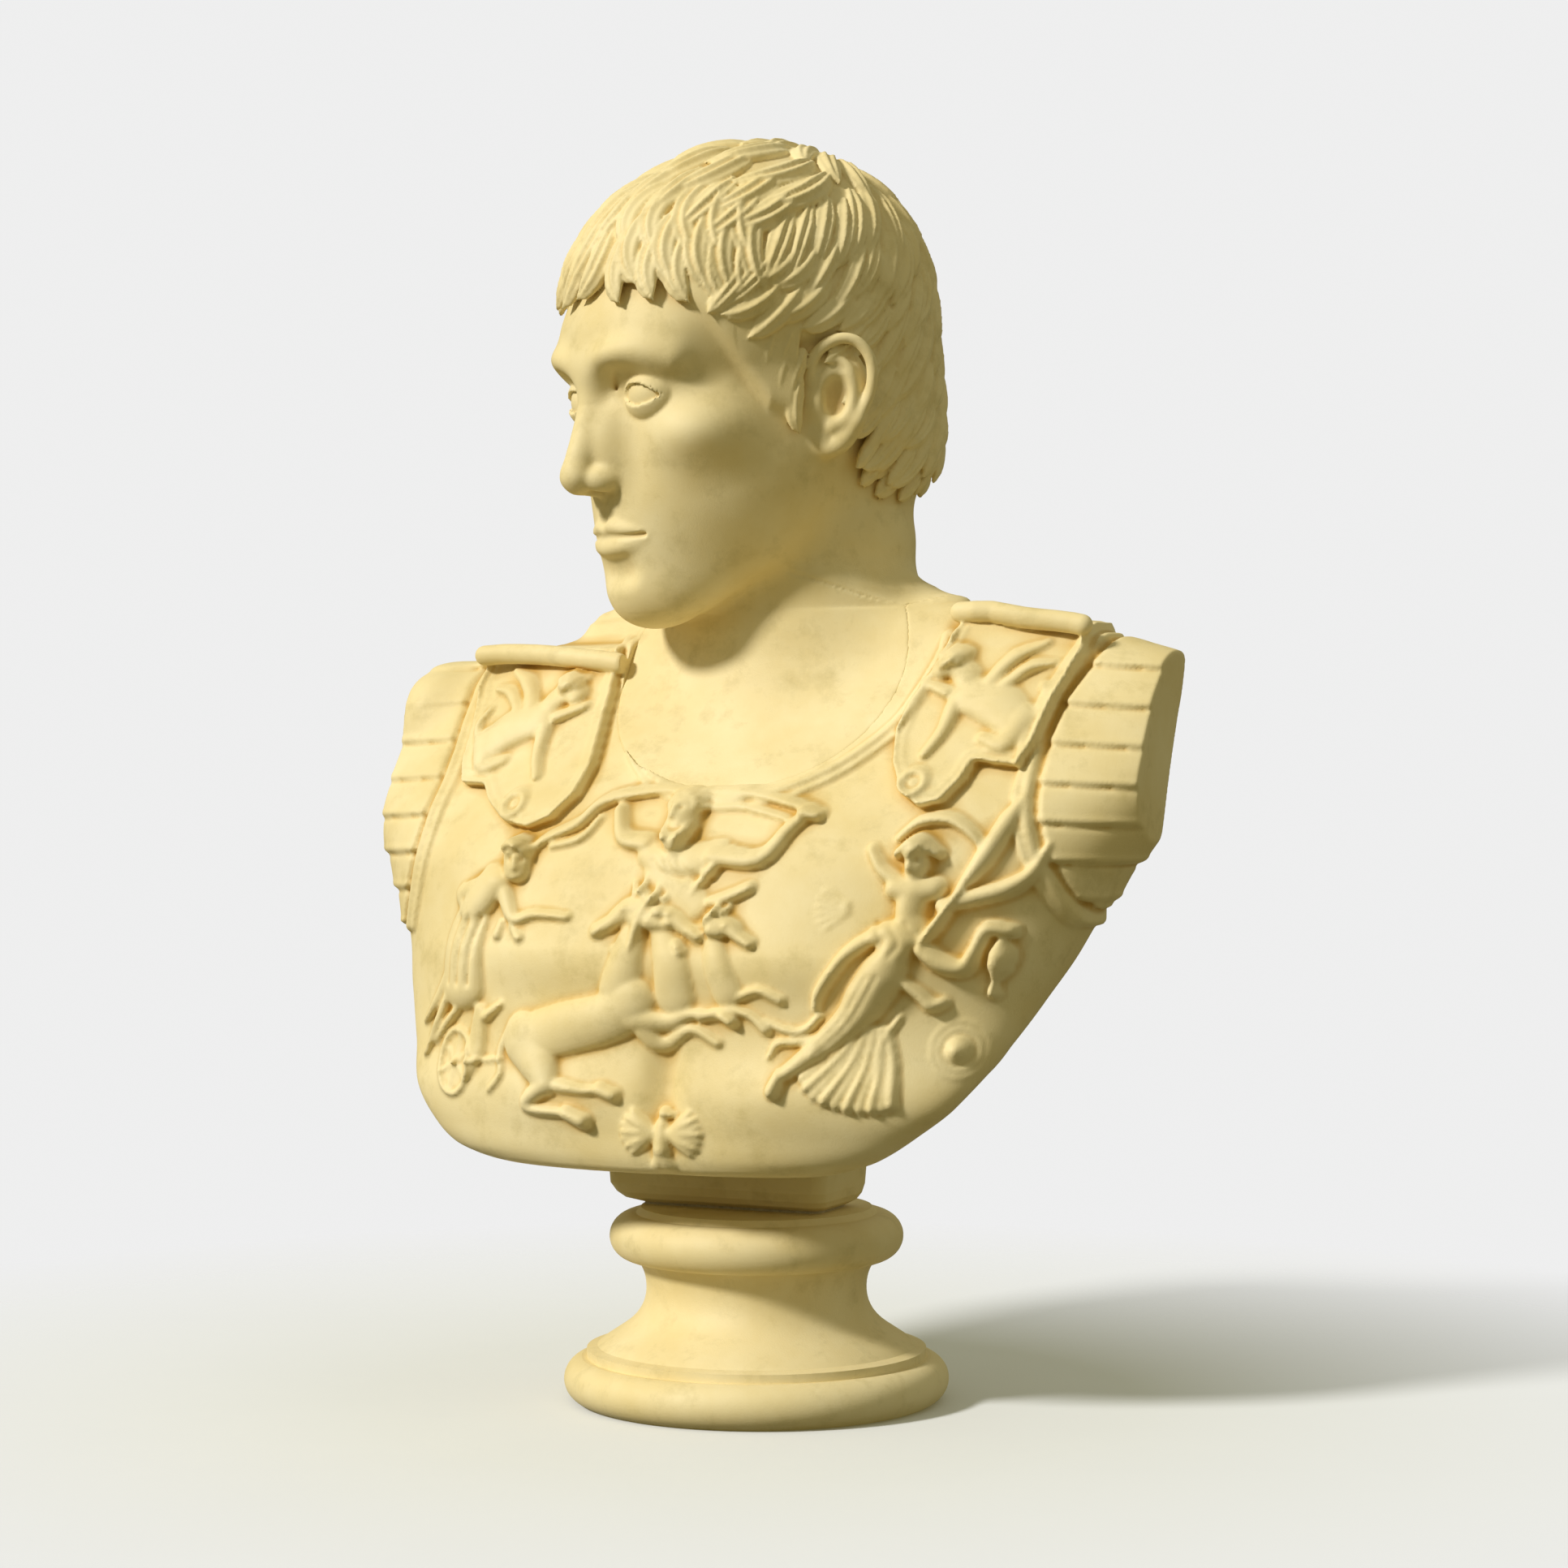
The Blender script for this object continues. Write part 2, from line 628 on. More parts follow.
# strokes of the small figures: a line of x and z from the figure's own middle, radii, height
HORSE = [
    ([(-35, -8), (-10, -1), (14, 5), (30, 14)], (13, 13.5, 13, 14), 9),
    ([(24, 20), (27, 36), (30, 52), (33, 62)], (12, 9, 7.5, 6.5), 7),
    ([(38, 70), (34, 58), (31, 44)], (3, 4, 2.4), 9.5),
    ([(30, 6), (50, 4), (66, 9), (86, 9)], (8, 6, 3.4, 2.6), 8),
    ([(86, 9), (91, 6)], (3.2, 3.4), 8),
    ([(38, 0), (48, -8), (66, 1), (82, -6)], (6, 5, 3, 2.8), 6),
    ([(-38, -8), (-28, -18), (-20, -31)], (14, 12, 7), 10),
    ([(-20, -31), (-34, -45), (-6, -47)], (6, 3.2, 2.8), 7),
    ([(-6, -47), (4, -51)], (4.2, 4.6), 8),
    ([(-12, -32), (4, -34), (14, -33)], (4, 3, 2.8), 5),
    ([(14, -33), (22, -36)], (3.8, 4), 6),
    ([(-50, -4), (-56, -16), (-54, -28), (-62, -38)], (2.8, 2.4, 2.2, 1.6), 4),
]
TEAM = [
    ([(6, -22), (4, -2), (-3, 14)], (11, 9, 7), 6),
    ([(38, -19), (33, -6), (29, 8)], (8, 7, 5.5), 4.5),
    ([(22, -32), (40, -28), (52, -31), (60, -38)], (3, 2.6, 2.4, 3), 5),
    ([(42, -22), (56, -17), (68, -22)], (2.6, 2.4, 3), 4),
]
HORSE_HEAD = [
    ([(-2, 0), (9, 1), (18, -1), (26, -2)], (7.8, 6.2, 4.4, 4.2), 9.5),
    ([(0, -4), (5, -4)], (6.4, 4.6), 10.5),
    ([(-3, 7), (-6, 14)], (2.4, 1.0), 9),
    ([(2, 7), (2, 13)], (2.2, 1.0), 8),
]
DRIVER = [
    ([(-6, -8), (-12, -26), (-13, -52)], (9, 11, 12), 8),
    ([(6, 8), (-2, -2), (-8, -10)], (9, 9, 8), 9.5),
    ([(-4, 4), (-18, 0), (-14, -9)], (6, 4.5, 3), 7),
    ([(21, 22), (22, 14)], (7.5, 6.2), 10.5),
    ([(14, 27), (21, 30), (28, 24)], (4, 4, 3), 11.5),
    ([(14, 4), (25, -12), (40, -9), (62, -10)], (4.5, 3.2, 2.8, 2.2), 6),
    ([(24, -16), (31, -22)], (1.6, 2.8), 4),
    ([(16, -14), (14, -22)], (1.6, 2.6), 4),
    ([(-26, -46), (-35, -62), (-46, -74)], (2.4, 3.2, 1.4), 6),
    ([(-23, -54), (-32, -72), (-42, -92)], (2.2, 2.8, 1.4), 6),
    ([(-14, -62), (-24, -72), (-34, -84)], (2.0, 2.4, 1.2), 5),
    ([(2, -64), (0, -86), (-4, -102)], (3.4, 5.4, 1.6), 5),
    ([(6, -68), (18, -60)], (3, 1.6), 5),
]
SKY_FIGURE = [
    ([(-5, 22), (-4, 14)], (9.6, 9), 12),
    ([(-4, 8), (-2, -3)], (9, 6), 10),
    ([(-19, -4), (-6, -9), (8, -9), (22, -4)], (7, 10, 10, 7), 6.5),
    ([(-8, -14), (4, -24), (14, -32)], (11, 12, 8), 5),
    ([(-22, 1), (-38, 4), (-47, 19)], (5, 4.4, 3.6), 7),
    ([(20, -5), (48, -6), (60, 10), (68, 18)], (5.6, 5, 4.2, 3.4), 7.5),
    ([(66, 19), (74, 17)], (4.4, 3.2), 8),
    ([(30, -2), (20, -14), (12, -26)], (2.4, 3.4, 1.8), 7),
    ([(24, -30), (34, -27), (45, -22)], (3, 3.6, 3.2), 6),
    ([(-98, -14), (-92, 0), (-70, 11), (-58, 24), (-26, 30), (-10, 29)], (2.4, 3, 3.8, 3.8, 3.6, 3), 6),
    ([(-84, -2), (-66, 3), (-58, 14)], (2.0, 2.6, 2.0), 4),
    ([(4, 30), (30, 29), (54, 24), (74, 18)], (3, 3.6, 3.2, 2.2), 6),
    ([(6, 23), (30, 21), (56, 15)], (2.0, 2.6, 2), 3.5),
]
PAIR = [
    ([(8, 46), (8, 39)], (8, 6.6), 11),
    ([(-2, 47), (8, 54), (18, 47)], (3, 4, 3), 10.5),
    ([(-4, 55), (6, 64), (22, 65), (36, 55), (38, 50)], (2.4, 3.2, 3.4, 3, 2), 6),
    ([(-17, 49), (-9, 38), (2, 31)], (3, 3.6, 4.6), 6),
    ([(-1, 29), (9, 27), (18, 28)], (6.5, 8, 6), 8.5),
    ([(8, 26), (7, 14), (9, 6)], (9.5, 8, 9), 8.5),
    ([(31, 27), (20, 8), (13, -4)], (2.6, 3.4, 2.2), 10),
    ([(28, 25), (40, 44), (50, 64), (58, 82)], (2.4, 5.6, 6, 1.2), 7),
    ([(22, 19), (36, 23), (52, 28), (64, 37), (71, 52)], (4, 4.6, 5, 4.4, 2.6), 7),
    ([(-8, 3), (2, 5), (13, 1)], (5.5, 7, 5.5), 9),
    ([(3, 1), (0, -8), (-3, -17)], (11, 9, 11.5), 9.5),
    ([(-9, 3), (-20, -5), (-27, -14), (-36, -28), (-38, -36)], (4.6, 4.2, 3.6, 3.2, 2.4), 6.5),
    ([(14, -3), (24, -12), (34, -14), (39, -4), (44, 6), (54, 5)], (5, 5.2, 4.8, 4.2, 4.6, 3.8), 7.5),
    ([(50, -1), (50, -8), (49, -13), (47, -21)], (3.4, 6.6, 6, 2.2), 8.5),
    ([(46, -24), (46, -28)], (2.2, 3.4), 6),
    ([(-4, -18), (-13, -32), (-22, -44), (-40, -60)], (11.5, 11, 8.5, 5.6), 9.5),
    ([(-36, -57), (-48, -67), (-56, -73)], (6.4, 4.6, 3.4), 8.5),
    ([(-55, -72), (-58, -80)], (4, 4.6), 8),
    ([(6, -22), (14, -29), (19, -34), (24, -33)], (3, 3.6, 4.2, 3), 6.5),
    ([(-36, -40), (-44, -48), (-54, -48), (-66, -43)], (2, 2.6, 2.4, 1.4), 4.5),
    ([(-33, -50), (-46, -54), (-58, -55), (-63, -63)], (2, 2.6, 2.4, 1.6), 4.5),
    ([(4, -40), (-3, -52), (-6, -62), (-5, -74)], (1.6, 2, 1.8, 1.4), 3.5),
]
BEAST = [
    ([(12, 3), (-4, -2), (-18, -12)], (10, 11.5, 10), 6.5),
    ([(-20, -11), (-15, -23), (-2, -21)], (9, 6, 3), 6.5),
    ([(24, 22), (31, 17)], (8.4, 6.4), 8),
    ([(16, 12), (22, 18)], (7, 7), 6),
    ([(2, 10), (-8, 24), (-22, 31)], (4.6, 4.6, 2), 5.5),
    ([(-6, 8), (-18, 18), (-30, 20)], (3.6, 3.6, 1.8), 5),
    ([(18, -2), (21, -18), (27, -30)], (5, 3.6, 2.8), 5.5),
    ([(24, 4), (40, 10)], (3.8, 2.6), 5.5),
    ([(-24, -14), (-32, -2), (-28, 8)], (2.4, 2.4, 2), 4),
]
# outlines of the shoulder straps from the front, as x and z, measured on the photograph
RIGHT_STRAP = [
    (-88, 432), (-87, 415), (-83, 390), (-78, 364), (-79, 346), (-88, 333), (-103, 327), (-121, 330),
    (-139, 341), (-149, 350), (-168, 351), (-175, 363), (-179, 386), (-185, 408), (-186, 430),
]
LEFT_STRAP = [
    (120, 448), (113, 420), (104, 398), (101, 380), (105, 365), (115, 350), (128, 341), (140, 344),
    (148, 356), (151, 366), (164, 364), (176, 363), (182, 378), (187, 400), (194, 426), (194, 446),
]
LIMB_FULLNESS, LIMB_RISE = 1.12, 1.1


def figure(relief, at, strokes, lift=0.0, flip=1, stretch=1.0):
    """A small figure in relief at a place, mirrored where flip is -1."""
    for points, radii, rise in strokes:
        line = curve([(at[0] + flip * x, at[1] + z) for x, z in points], 4)
        relief.limb(line, LIMB_FULLNESS * np.array(radii), LIMB_RISE * rise, lift, stretch)


def ring(relief, at, half_width, half_height, radius, rise):
    turn = np.linspace(0, 2 * math.pi, 25)
    line = np.stack([at[0] + half_width * np.cos(turn), at[1] + half_height * np.sin(turn)], 1)
    relief.bead(line, radius, rise)


def curl(relief, place):
    """One round curl with a drilled middle."""
    relief.bead([place, place], 3.0, 3.8)
    relief.groove([place, place], 1.4, 2.4)


def curls(relief, at, half_width, half_height, count=14):
    """Curls scattered over a relief head or mane."""
    for i in range(count):
        turn = 2.4 * i
        far = math.sqrt((i + 0.5) / count)
        curl(relief, (at[0] + half_width * far * math.cos(turn), at[1] + half_height * far * math.sin(turn)))


def curl_arc(relief, at, radius, first, last, count):
    """Curls along an arc from one angle to another."""
    for turn in np.radians(np.linspace(first, last, count)):
        curl(relief, (at[0] + radius * math.cos(turn), at[1] + radius * math.sin(turn)))


def small_face(relief, at, turn):
    """Eye hollows, nose and mouth on a relief head, set so many mm to one side."""
    x, z = at[0] + turn, at[1]
    for shift in (-3.4, 3.4):
        relief.groove([(x + shift, z + 1.5)] * 2, 2.2, 2.2)
    relief.bead([(x, z + 3), (x + 0.4 * turn, z - 2.5)], (1.3, 2.0), 2.2)
    relief.groove([(x - 2.6, z - 6), (x + 2.6, z - 6)], 1.2, 1.6)


def horse_head(relief, cheek, muzzle):
    """A horse's head from cheek to muzzle, with ears, eye, nostril, mouth and a curly mane."""
    cheek, muzzle = np.array(cheek, float), np.array(muzzle, float)
    ahead = (muzzle - cheek) / 26
    above = np.array([-ahead[1], ahead[0]]) * np.sign(ahead[0])
    size = np.linalg.norm(ahead)

    def spots(*points):
        return [cheek + x * ahead + z * above for x, z in points]

    for points, radii, rise in HORSE_HEAD:
        relief.limb(curve(spots(*points), 4), size * np.array(radii), rise)
    relief.bead(spots((8, 2.5), (8, 2.5)), 2.0 * size, 2.0)
    relief.groove(spots((26, 0), (26, 0)), 1.6 * size, 2.2)
    relief.groove(spots((28, -5), (21, -4)), 1.2 * size, 1.6)
    for i in range(7):
        curl(relief, spots((-1 - 2.0 * i, 8 - 0.9 * i * i))[0])


def eagle(relief, at):
    """A small spread bird: two fans of feathers, a tail, a body and a head turned aside."""
    fans = [(side * 3, 4, side * 44, side * 15, 7, 20) for side in (-1, 1)]
    for x, z, first, step, count, length in fans + [(0, -6, 152, 14, 5, 12)]:
        for i in range(count):
            turn = math.radians(first + step * i)
            root = (at[0] + x, at[1] + z)
            tip = (root[0] + length * math.sin(turn), root[1] + 0.8 * length * math.cos(turn))
            relief.limb(curve([root, tip], 4), (3.2, 3.0, 1.8), 4.6 + 1.2 * (i % 2))
    relief.limb([(at[0], at[1] + 9), (at[0], at[1] - 5)], (4.6, 5.6), 8)
    relief.limb([(at[0] + 1, at[1] + 15), (at[0] + 6, at[1] + 14)], (4.0, 1.8), 9)


def strap(relief, outline, beast_at, disc_at, flip):
    """A shoulder strap: raised plate with a double border, a winged beast and a rivet disc."""
    place, inner = relief.plate(outline, 6.5, 1.0)
    border = np.exp(-(((inner - 2.2) / 1.6) ** 2)) + 0.6 * np.exp(-(((inner - 6.4) / 1.1) ** 2))
    relief.h[place] += 2.4 * border * (inner > 0)
    figure(relief, beast_at, BEAST, 6.5, flip)
    ring(relief, disc_at, 6.4, 6.4, 2.2, 3.0)
    relief.limb([disc_at, disc_at], 2.6, 2.0, 6.5)


def wheel(relief):
    at = (-141, 196)
    ring(relief, at, 12, 18, 1.7, 3.4)
    for turn in (0.4, 1.4, 2.6, 3.5, 4.5, 5.7):
        tip = (at[0] + 11 * math.cos(turn), at[1] + 17 * math.sin(turn))
        relief.bead([at, tip], 1.2, 1.8)
    relief.limb([at, at], 2.8, 4.0)
    relief.bead([(-130, 197), (-104, 200)], 1.5, 2.6)


def hem(relief, at):
    """The fluttering skirt of the lower figure, ending in a scalloped edge."""
    edge = curve([(-44, -70), (-38, -80), (-28, -86), (-16, -89), (-4, -89), (5, -86)], 4)
    for i, tip in enumerate(edge[1::2]):
        root = (-16 + 1.6 * i, -46)
        middle = ((root[0] + tip[0]) / 2 + 2, (root[1] + tip[1]) / 2)
        line = curve([(at[0] + x, at[1] + z) for x, z in (root, middle, tuple(tip))], 4)
        relief.limb(line, (1.4, 2.0, 3.4), 4.0 + 1.6 * (i % 2))


def folds(relief):
    """Drapery lines on the driver, the veil and the flying pair, and fine rays between them."""
    for shift in (-8, 0, 8):
        relief.groove(curve([(-131 + shift, 278), (-136 + shift, 262), (-138 + shift, 240)]), 1.8, 2.4)
    for shift in (0, 5):
        relief.groove(curve([(116 + shift, 252), (102 + shift, 228), (84 + shift, 210)]), 1.4, 1.6)
    for shift in (-8, 0, 8):
        relief.groove(curve([(shift - 6, 312), (shift, 306), (shift + 14, 302)]), 1.5, 1.8)
        relief.groove(curve([(124 + shift, 280), (130 + shift, 270), (126 + shift, 262)]), 1.5, 1.8)
    for i in range(6):
        turn = math.radians(150 + 14 * i)
        near = (106 + 6 * math.cos(turn), 288 + 4 * math.sin(turn))
        far = (106 + 22 * math.cos(turn), 288 + 18 * math.sin(turn))
        relief.bead([near, far], 1.2, 1.0)
    relief.groove([(-120, 306), (-132, 302), (-142, 296)], 1.4, 2.0)


def boss(relief):
    """A pointed boss with two fine rings."""
    at = (157, 212)
    place, x, z = relief.window((130, 185), (185, 240))
    far = np.hypot((x - at[0]) * 1.15, z - at[1])
    relief.h[place] += 7.0 * np.clip(1 - far / 8.0, 0, 1) ** 0.8
    ring(relief, at, 9.5, 11, 1.3, 1.1)
    ring(relief, at, 13, 15, 1.3, 0.9)


def carve_front(relief):
    """The straps and the figures carved on the breastplate."""
    strap(relief, RIGHT_STRAP, (-139, 386), (-118, 341), 1)
    strap(relief, LEFT_STRAP, (150, 400), (122, 355), -1)
    figure(relief, (0, 260), TEAM)
    horse_head(relief, (30, 279), (51, 270))
    horse_head(relief, (-7, 284), (20, 274))
    figure(relief, (-50, 220), HORSE)
    horse_head(relief, (-16, 287), (-43, 275))
    figure(relief, (-125, 290), DRIVER, stretch=1.3)
    figure(relief, (0, 320), SKY_FIGURE)
    hem(relief, (125, 270))
    figure(relief, (125, 270), PAIR, stretch=0.85)
    eagle(relief, (0, 160))
    small_face(relief, (-5, 339), -1)
    small_face(relief, (-103, 309), 2)
    small_face(relief, (133, 312), -1)
    curl_arc(relief, (-5, 340), 10.5, 5, 175, 8)
    curl_arc(relief, (-4, 333), 8.5, 200, 340, 7)
    curl_arc(relief, (-3, 325), 5.0, 180, 360, 5)
    curls(relief, (-103, 319), 8, 4, 8)
    curls(relief, (133, 321), 7, 4, 8)
    curls(relief, (-112, 411), 8, 6, 10)
    curls(relief, (124, 424), 8, 6, 10)
    wheel(relief)
    folds(relief)
    boss(relief)


def strap_rolls(clay):
    """The rolled upper end of each shoulder strap, as a bar lying on the shoulder."""
    for first, last in (((-181, 8, 430), (-86, -4, 421)), ((119, 16, 453), (195, 18, 442))):
        t = np.linspace(0, 1, 9)[:, None]
        straight = np.array(first) * (1 - t) + np.array(last) * t
        line = 0.5 * clay.stick(straight, 4.0) + 0.5 * straight
        rope(clay, WORLD, line, 6.0, 1.5)


# ------------------------------------------------------------------ head and neck

HEAD_AT = (-16.0, 20.0, 567.0)
HEAD_TURN, HEAD_BOW, EAR_LEVEL = -32.0, 8.0, 113.0
HEAD_MATRIX = turned(0, 0, HEAD_TURN) @ turned(HEAD_BOW, 0, 0)
HEAD = Pose(HEAD_MATRIX, np.array(HEAD_AT) - HEAD_MATRIX @ np.array([0, 0, EAR_LEVEL]))


def skull(clay):
    """The bare head's main masses, in the head's own frame with the chin at height 0."""
    ball(clay, HEAD, (0, 16, 164), (78, 103, 91), margin=60)
    ball(clay, HEAD, (0, -30, 158), (70, 70, 74), 16, margin=30)
    ball(clay, HEAD, (0, 60, 96), (60, 54, 66), 26, margin=30)
    ball(clay, HEAD, (0, 8, 108), (74, 46, 46), 26, margin=30)
    ball(clay, HEAD, (0, -40, 94), (56, 54, 62), 24, margin=30)
    for side in (-1, 1):
        jaw = [(side * 43, 4, 66), (side * 39, -26, 37), (side * 18, -70, 18)]
        rope(clay, HEAD, jaw, [16, 16, 15], 30, margin=30)
        ball(clay, HEAD, (side * 30, -26, 80), (38, 52, 44), 30, margin=30)
        ball(clay, HEAD, (side * 44, -58, 104), (22, 28, 15), 24, (0, 0, side * 32), margin=20)
        ball(clay, HEAD, (side * 27, -78, 155), (28, 15, 16), 26, (0, 0, side * 16), margin=20)
    ball(clay, HEAD, (0, -62, 50), (36, 39, 44), 26, margin=30)
    ball(clay, HEAD, (0, -80, 17), (20, 19, 17), 16, margin=20)


def both_sides(action):
    for side in (-1, 1):
        action(side)


EYE_AT, EYE_RADIUS = (32.5, -79.0, 127.0), 15.0


def eye(clay, side):
    """A blank classical eye: a ball behind two lids with an almond opening, in a soft socket."""
    ball(clay, HEAD, (side * 31, -113, 130), (22, 18, 13), 14, (0, 0, side * 10), cutting=True)
    ball(clay, HEAD, (side * 15, -113, 127), (7, 13, 11), 12, cutting=True)
    centre = (side * EYE_AT[0], EYE_AT[1], EYE_AT[2])
    own = Pose(HEAD.matrix @ turned(0, side * 3, side * 8), HEAD.out([centre])[0])
    ball(clay, own, (0, 0, 0), (EYE_RADIUS, EYE_RADIUS, EYE_RADIUS - 1), 2.0)
    index, axes = clay.window(own.origin - 28, own.origin + 28)
    x, y, z = own.into(axes)
    lids = np.sqrt(x**2 + y**2 + (z * 1.04) ** 2) - EYE_RADIUS - 2.6
    arch = np.clip(1 - (x / 15.5) ** 2, -1, 1)
    opening = np.minimum(8.0 * arch - z - 0.5, z + 5.4 * arch - 0.5)
    shell = np.maximum(lids, np.where(y < 0, opening, -50))
    clay.add(index, shell.astype(np.float32), 0.6)
    crease = [(13, -92, 131), (20, -98, 139), (31, -100, 143), (42, -96, 141), (53, -84, 133)]
    rope(clay, HEAD, curve(mirror_to(side, crease)), 1.6, 3.0, cutting=True)
    brow = [(9, -101, 145), (22, -104, 151), (38, -97, 152), (54, -80, 146)]
    rope(clay, HEAD, curve(mirror_to(side, brow)), [2.6, 3.0, 2.2], 14)


def mirror_to(side, points):
    return [(side * x, y, z) for x, y, z in points]


def nose(clay):
    """A straight nose with modest wings."""
    bridge = [(0, -96, 146), (0, -101, 130), (0, -109, 110), (0, -117, 92), (0, -118, 87)]
    rope(clay, HEAD, curve(bridge), [6.6, 6.4, 7.2, 7.6], 15)
    ball(clay, HEAD, (0, -118, 86), (7.6, 7.4, 7.0), 6)
    rope(clay, HEAD, [(0, -117, 81), (0, -104, 77)], 4.0, 5)
    for side in (-1, 1):
        ball(clay, HEAD, (side * 10, -94, 100), (8, 12, 20), 14)
        ball(clay, HEAD, (side * 10.5, -107, 83), (5.6, 9, 6.4), 5, (0, 0, side * -18))
        ball(clay, HEAD, (side * 5.8, -110, 75.5), (2.8, 5.5, 3.6), 1.5, (0, 0, side * -18), cutting=True)


def mouth(clay):
    """A closed, level mouth."""
    upper = [(-25, -91, 51), (-16, -98, 53.5), (-6, -101.5, 56), (0, -101, 55)]
    upper += mirror_to(-1, upper[-2::-1])
    lower = [(-23, -91.5, 48.5), (-12, -98, 45), (0, -100.5, 44), (12, -98, 45), (23, -91.5, 48.5)]
    parting = [(-26, -93.5, 50.5), (-15, -101.5, 50.5), (-5, -105.5, 51), (0, -106, 50.5)]
    parting += mirror_to(-1, parting[-2::-1])
    rope(clay, HEAD, curve(upper), [1.8, 3.4, 4.2, 3.4, 1.8], 4)
    rope(clay, HEAD, curve(lower), [2.2, 4.6, 5.2, 4.6, 2.2], 5)
    rope(clay, HEAD, curve(parting), 1.5, 1.6, cutting=True)
    rope(clay, HEAD, [(0, -106, 61), (0, -107, 70)], [3.0, 2.2], 4, cutting=True)
    rope(clay, HEAD, [(-12, -102, 31), (0, -104, 30), (12, -102, 31)], 5.0, 10, cutting=True)


def ear(clay, side):
    """An ear with its rim, inner ridge, bowl and lobe, drawn in its own flat frame."""
    frame_matrix = HEAD.matrix @ turned(-8, 0, side * -24)
    own = Pose(frame_matrix, HEAD.out([(side * 74, 8, 112)])[0])

    def at(points):
        return [(side * lift, y, z) for y, z, lift in points]

    ball(clay, own, (side * 3, 5, 3), (9, 17, 28), 5)
    ball(clay, own, (side * -4, 4, 0), (10, 16, 24), 10)
    ball(clay, own, (side * 14, 2, 2), (10, 9, 13), 3, cutting=True)
    ball(clay, own, (side * 15, 6, 23), (8, 10, 7), 3, cutting=True)
    rim = [(-7, 2, 4), (-12, 12, 6), (-10, 25, 9), (1, 34, 11)]
    rim += [(13, 33, 12), (21, 22, 13), (21, 5, 12), (14, -11, 10)]
    lobe = [(14, -11, 10), (8, -21, 8), (0, -26, 6), (-6, -20, 4), (-8, -12, 3)]
    ridge = [(2, 24, 8), (9, 18, 10), (12, 4, 10), (8, -9, 10), (0, -15, 9)]
    rope(clay, own, curve(at(rim)), 3.2, 3)
    rope(clay, own, curve(at(lobe)), [3.6, 5.4, 5.0, 4.0], 6)
    rope(clay, own, curve(at(ridge)), 2.6, 4)
    ball(clay, own, (side * 6, -10, -3), (5, 4.5, 7), 5)


def face(clay):
    both_sides(lambda side: eye(clay, side))
    nose(clay)
    mouth(clay)
    both_sides(lambda side: ear(clay, side))


# ------------------------------------------------------------------ hair

CAP, LOCK_LIFT = 6.0, 5.0          # the hair's smooth layer, and the middle of the locks, over the scalp
WHORL = np.array([4.0, 66.0, 244.0])
HAIRLINE_Y = [-125, -95, -76, -60, -46, -32, -20, -10, 26, 48, 70, 125]
HAIRLINE_Z = [206, 202, 188, 162, 138, 114, 106, 148, 146, 84, 66, 58]


def hair_cap(clay):
    """A smooth layer over the scalp, ending at the hairline."""
    index, axes = clay.window(HEAD.out([(0, 10, 150)])[0] - 140, HEAD.out([(0, 10, 150)])[0] + 140)
    x, y, z = HEAD.into(axes)
    line = np.interp(y, HAIRLINE_Y, HAIRLINE_Z).astype(np.float32)
    inside = -smooth_min(-(clay.d[index] - CAP), -(line - z) * 0.5, 6.0)
    clay.add(index, inside, 4.0)


def lock(clay, scalp, path, width, height, tip_lift=1.5, roll=0.0, strands=3, lift=LOCK_LIFT):
    """A tapered lock of hair along a path on the scalp, with combed grooves along it."""
    n = len(path)
    t = np.linspace(0, 1, n)
    points = scalp.stick(path, lift)
    up = scalp.normal(points)
    points = points + up * (tip_lift * t - 1.0 * (1 - t))[:, None]
    wide = width * np.clip(0.6 + 1.6 * t, 0, 1) * np.sqrt(np.clip(1 - t**3.4, 0.006, 1))
    tall = height * np.clip(0.75 + t, 0, 1) * np.clip(1 - t**5, 0.25, 1)
    low = points.min(0) - width - 3
    high = points.max(0) + width + 3
    index, axes = clay.window(low, high)
    shape = tuple(a.size for a in axes)
    nearest = np.full(shape, 1e9, np.float32)
    across = np.zeros(shape, np.float32)
    rise = np.zeros(shape, np.float32)
    past = np.zeros(shape, np.float32)
    w = np.ones(shape, np.float32)
    h = np.ones(shape, np.float32)
    for i in range(n - 1):
        along = points[i + 1] - points[i]
        length = max(np.linalg.norm(along), 1e-3)
        along = along / length
        side = np.cross(up[i], along)
        side = side * math.cos(roll) + up[i] * math.sin(roll)
        side /= max(np.linalg.norm(side), 1e-6)
        top = np.cross(along, side)
        dx, dy, dz = [line - np.float32(o) for line, o in zip(axes, points[i])]
        run = dx * along[0] + dy * along[1] + dz * along[2]
        held = np.clip(run, 0, length)
        lateral = dx * side[0] + dy * side[1] + dz * side[2]
        normal = dx * top[0] + dy * top[1] + dz * top[2]
        gap = lateral**2 + normal**2 + (run - held) ** 2
        closer = gap < nearest
        nearest = np.where(closer, gap, nearest)
        across = np.where(closer, lateral, across)
        rise = np.where(closer, normal, rise)
        past = np.where(closer, run - held, past)
        mix = held / length
        w = np.where(closer, wide[i] + (wide[i + 1] - wide[i]) * mix, w)
        h = np.where(closer, tall[i] + (tall[i + 1] - tall[i]) * mix, h)
    u = across / w
    comb = 1 - 0.30 * (0.5 - 0.5 * np.cos(np.pi * strands * (u + 1))) * (np.abs(u) < 1)
    k = np.sqrt(u**2 + (rise / (h * comb)) ** 2 + (past / h) ** 2)
    clay.add(index, ((k - 1) * np.minimum(w, h)).astype(np.float32), 0.5)


